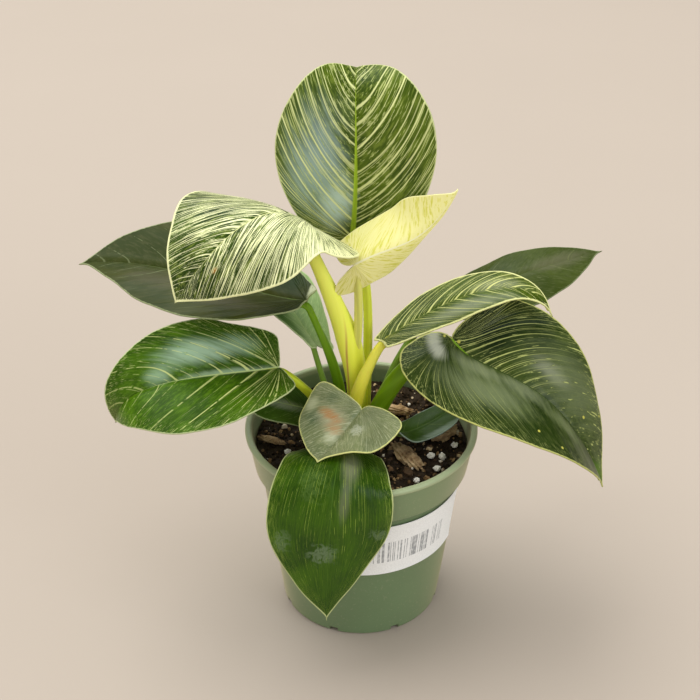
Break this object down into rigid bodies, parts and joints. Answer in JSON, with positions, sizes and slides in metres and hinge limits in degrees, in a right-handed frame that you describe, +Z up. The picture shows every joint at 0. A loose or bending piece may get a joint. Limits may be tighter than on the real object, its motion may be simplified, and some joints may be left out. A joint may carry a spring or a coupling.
{
  "type": "potted philodendron birkin",
  "caption": "Young leafy house plant with heart-shaped green leaves striped in cream, standing in a tapered round nursery pot of green plastic with a plain paper label.",
  "frame": {"origin": "centre of the pot's flat base, on the surface that it stands on", "axes": "+Z up along the pot's axis, -Y towards the front, where the label is, +X to the right seen from the front"},
  "size_m": [0.2401, 0.128, 0.2515],
  "materials": {
    "pot_plastic": "satin",
    "label_paper": "satin",
    "soil": "matte",
    "bark": "matte",
    "dry_sheath": "matte",
    "perlite": "matte",
    "crown": "matte",
    "leaf_striped": "satin",
    "leaf_cream": "satin",
    "leaf_young": "satin",
    "leaf_green": "satin",
    "leaf_grey": "satin",
    "leaf_dark": "satin"
  },
  "bodies": {
    "root": {"pot": "pot_plastic", "label": "label_paper", "soil": "soil", "crown": "crown", "bark_chip_long": "bark", "bark_chip_block": "bark", "bark_chip_left": "bark", "dry_sheath": "dry_sheath", "perlite_1": "perlite", "perlite_2": "perlite", "perlite_3": "perlite", "perlite_4": "perlite", "perlite_5": "perlite", "perlite_6": "perlite", "leaf_crest": "leaf_striped", "leaf_arched_cream": "leaf_cream", "leaf_new_folded": "leaf_young", "leaf_dark_left": "leaf_dark", "leaf_back_left": "leaf_dark", "leaf_left": "leaf_green", "leaf_low_left": "leaf_grey", "leaf_small_heart": "leaf_grey", "leaf_front_drape": "leaf_green", "leaf_low_right": "leaf_dark", "leaf_broad_right": "leaf_dark", "leaf_striped_right": "leaf_striped", "leaf_dark_right": "leaf_dark"}
  },
  "joints": []
}
